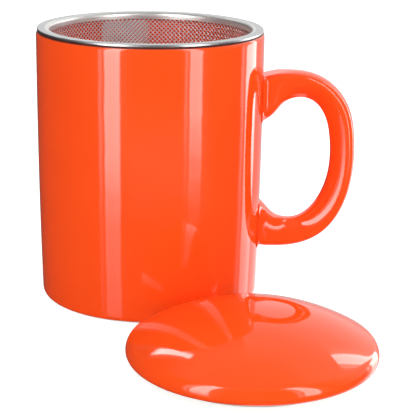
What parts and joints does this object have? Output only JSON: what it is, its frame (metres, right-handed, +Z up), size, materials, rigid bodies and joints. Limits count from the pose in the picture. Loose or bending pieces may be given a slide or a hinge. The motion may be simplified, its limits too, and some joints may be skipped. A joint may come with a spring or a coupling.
{
  "type": "lidded tea mug with infuser",
  "caption": "Straight-sided glazed tea mug with an ear handle, a lift-out steel mesh infuser basket seated in its mouth and a loose domed lid lying beside it.",
  "frame": {"origin": "on the mug's axis, in the plane the mug and the lid stand on", "axes": "+Z up, +X from the mug's axis towards the handle, -Y towards the side where the lid lies"},
  "size_m": [0.1193, 0.1619, 0.1012],
  "materials": {
    "glaze": "gloss orange glaze, bare fired clay on the foot rings",
    "steel_sheet": "stainless sheet, brushed on the flange and polished on the collar",
    "steel_mesh": "woven stainless wire cloth laid on the bias"
  },
  "bodies": {
    "mug": {"mug_body": "glaze", "mug_handle": "glaze"},
    "infuser": {"infuser_rim": "steel_sheet", "infuser_mesh_wall": "steel_mesh", "infuser_mesh_floor": "steel_mesh", "infuser_base_ring": "steel_sheet"},
    "lid": {"lid": "glaze"}
  },
  "joints": [
    {"name": "infuser_lift", "type": "slide", "parent": "mug", "child": "infuser", "axis": [0, 0, 1], "range_m": [0, 0.085]},
    {"name": "lid_lift", "type": "slide", "parent": "mug", "child": "lid", "axis": [0, 0, 1], "range_m": [0, 0.12]}
  ]
}
